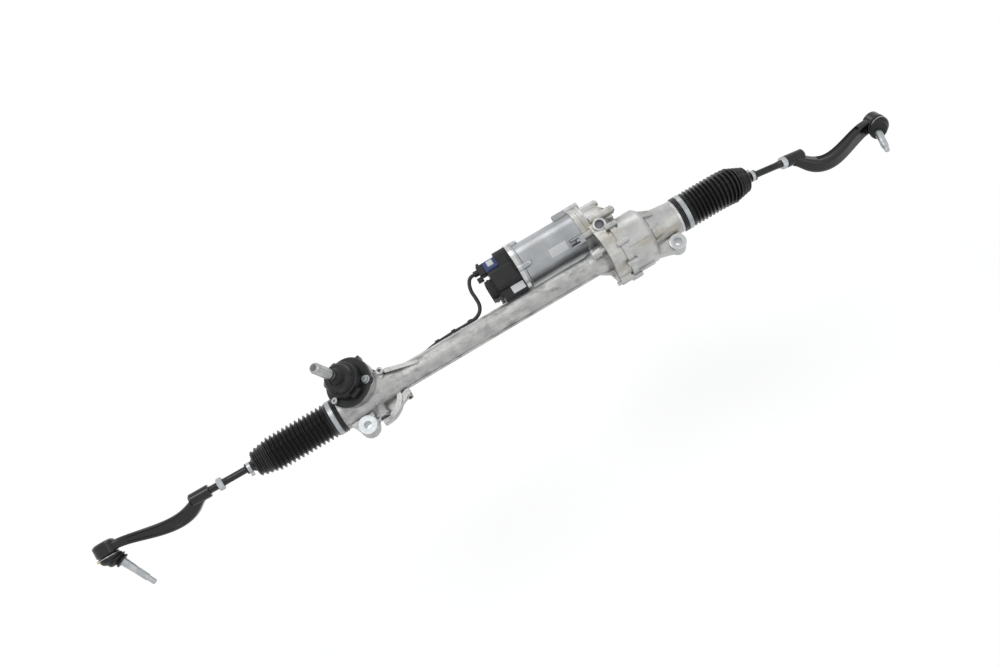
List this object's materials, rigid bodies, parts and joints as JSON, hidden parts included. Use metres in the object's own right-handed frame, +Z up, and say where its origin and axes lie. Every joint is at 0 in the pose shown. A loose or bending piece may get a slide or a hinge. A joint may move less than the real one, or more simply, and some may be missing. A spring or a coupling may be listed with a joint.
{
  "type": "steering rack",
  "caption": "Electric power steering rack with a belt-driven motor beside it, a leaned input shaft, rubber bellows and tie rods with bowed forged ends.",
  "frame": {"origin": "midway between the two lug bores, in the plane that the lugs stand on", "axes": "+X along the rack bar towards the motor end, +Z up along the lug bolts towards the input shaft, +Y from the lugs towards the rack bar and the motor"},
  "size_m": [1.5264, 0.2026, 0.234],
  "materials": {
    "cast_left": "satin, sand cast",
    "cast_drive": "satin, die cast",
    "motor_can": "satin, drawn",
    "machined_aluminium": "machined",
    "steel": "ground",
    "zinc": "zinc plated",
    "black_paint": "gloss black",
    "bellows_rubber": "matt",
    "boot_rubber": "satin",
    "case_plastic": "fine grain",
    "cover_plastic": "satin",
    "blue_plastic": "satin",
    "cable_jacket": "satin",
    "seat_plastic": "low friction",
    "board": "lacquered",
    "stator_laminate": "laminated"
  },
  "bodies": {
    "housing": {"rack_housing": "cast_left", "mount_bushes": "zinc", "stop_rings": "boot_rubber", "pinion_bearings": "steel", "torque_sensor": "case_plastic", "pinion_cover": "cover_plastic", "cover_screws": "zinc", "shaft_seal": "boot_rubber", "rack_yoke": "machined_aluminium", "yoke_spring": "steel", "yoke_plug": "zinc", "belt_housing": "cast_drive", "inspection_plug": "machined_aluminium", "nut_housing": "cast_drive", "nut_bearing": "steel", "motor_housing": "motor_can", "motor_end_shield": "cast_drive", "motor_bearings": "steel", "motor_stator": "stator_laminate", "control_unit_base": "machined_aluminium", "control_unit_case": "case_plastic", "circuit_board": "board", "power_header": "case_plastic", "signal_connector": "blue_plastic", "cable_plugs": "cover_plastic", "sensor_cable": "cable_jacket", "cable_clips": "cover_plastic", "housing_screws": "zinc", "toothed_belt": "boot_rubber", "left_bellows": "bellows_rubber", "right_bellows": "bellows_rubber", "left_large_clamp": "zinc", "right_large_clamp": "zinc"},
    "rotor": {"motor_rotor": "steel", "small_pulley": "steel"},
    "rack": {"rack_bar": "steel", "left_inner_joint": "steel", "right_inner_joint": "steel"},
    "nut": {"ball_nut": "steel", "large_pulley": "machined_aluminium", "recirculating_balls": "steel"},
    "pinion": {"pinion": "steel", "torsion_bar": "steel"},
    "input shaft": {"input_shaft": "steel"},
    "left swing": {"left_inner_seat": "seat_plastic"},
    "left tie rod": {"left_tie_rod": "black_paint", "left_small_clamp": "zinc", "left_lock_nut": "zinc", "left_tie_rod_end": "black_paint", "left_outer_seat": "seat_plastic"},
    "left boot": {"left_stud_boot": "boot_rubber"},
    "left stud": {"left_ball_stud": "zinc"},
    "right swing": {"right_inner_seat": "seat_plastic"},
    "right tie rod": {"right_tie_rod": "black_paint", "right_small_clamp": "zinc", "right_lock_nut": "zinc", "right_tie_rod_end": "black_paint", "right_outer_seat": "seat_plastic"},
    "right boot": {"right_stud_boot": "boot_rubber"},
    "right stud": {"right_ball_stud": "zinc"}
  },
  "joints": [
    {"name": "motor_turn", "type": "hinge", "parent": "housing", "child": "rotor", "pos_m": [0, 0.1095, -0.006], "axis": [1, 0, 0], "range_deg": [-13067.1, 9364.3], "deforming": ["left_bellows", "right_bellows"]},
    {"name": "rack_travel", "type": "slide", "parent": "housing", "child": "rack", "axis": [1, 0, 0], "range_m": [-0.0605, 0.0845], "deforming": ["left_bellows", "right_bellows"]},
    {"name": "nut_turn", "type": "hinge", "parent": "housing", "child": "nut", "pos_m": [0, 0.0435, 0.014], "axis": [1, 0, 0], "range_deg": [-4355.7, 3121.4]},
    {"name": "pinion_turn", "type": "hinge", "parent": "housing", "child": "pinion", "pos_m": [-0.275, 0.06191, 0.01019], "axis": [-0.3007, 0.1934, 0.9339], "range_deg": [-452.2, 630.8]},
    {"name": "input_twist", "type": "hinge", "parent": "pinion", "child": "input shaft", "pos_m": [-0.275, 0.06191, 0.01019], "axis": [-0.3007, 0.1934, 0.9339], "range_deg": [-4, 4], "stiffness_Nm_per_rad": 115},
    {"name": "left_swing", "type": "hinge", "parent": "rack", "child": "left swing", "pos_m": [-0.432, 0.0435, 0.014], "axis": [0, 0, 1], "range_deg": [-20, 20], "deforming": ["left_bellows"]},
    {"name": "left_jounce", "type": "hinge", "parent": "left swing", "child": "left tie rod", "pos_m": [-0.432, 0.0435, 0.014], "axis": [0, -1, 0], "range_deg": [-19, 25], "deforming": ["left_bellows"]},
    {"name": "left_stud_tilt", "type": "hinge", "parent": "left tie rod", "child": "left boot", "pos_m": [-0.76355, 0.0435, 0.03138], "axis": [-0.0506, 0.2588, -0.9646], "range_deg": [-3, 57], "deforming": ["left_stud_boot"]},
    {"name": "left_stud_turn", "type": "hinge", "parent": "left boot", "child": "left stud", "pos_m": [-0.76355, 0.0435, 0.03138], "axis": [0.4413, -0.8606, -0.2541], "continuous": true},
    {"name": "right_swing", "type": "hinge", "parent": "rack", "child": "right swing", "pos_m": [0.412, 0.0435, 0.014], "axis": [0, 0, 1], "range_deg": [-17.5, 22.5], "deforming": ["right_bellows"]},
    {"name": "right_jounce", "type": "hinge", "parent": "right swing", "child": "right tie rod", "pos_m": [0.412, 0.0435, 0.014], "axis": [0.0436, 0.999, 0], "range_deg": [-36, 8], "deforming": ["right_bellows"]},
    {"name": "right_stud_tilt", "type": "hinge", "parent": "right tie rod", "child": "right boot", "pos_m": [0.72317, 0.02991, -0.06366], "axis": [0.2248, 0.5499, 0.8044], "range_deg": [-3, 57], "deforming": ["right_stud_boot"]},
    {"name": "right_stud_turn", "type": "hinge", "parent": "right boot", "child": "right stud", "pos_m": [0.72317, 0.02991, -0.06366], "axis": [-0.3519, -0.724, 0.5933], "continuous": true}
  ],
  "couplings": [
    {"joint": "motor_turn", "follows": "rack_travel", "rad_per_m": -2692.8},
    {"joint": "nut_turn", "follows": "rack_travel", "rad_per_m": -897.6},
    {"joint": "pinion_turn", "follows": "rack_travel", "rad_per_m": 129.87}
  ]
}
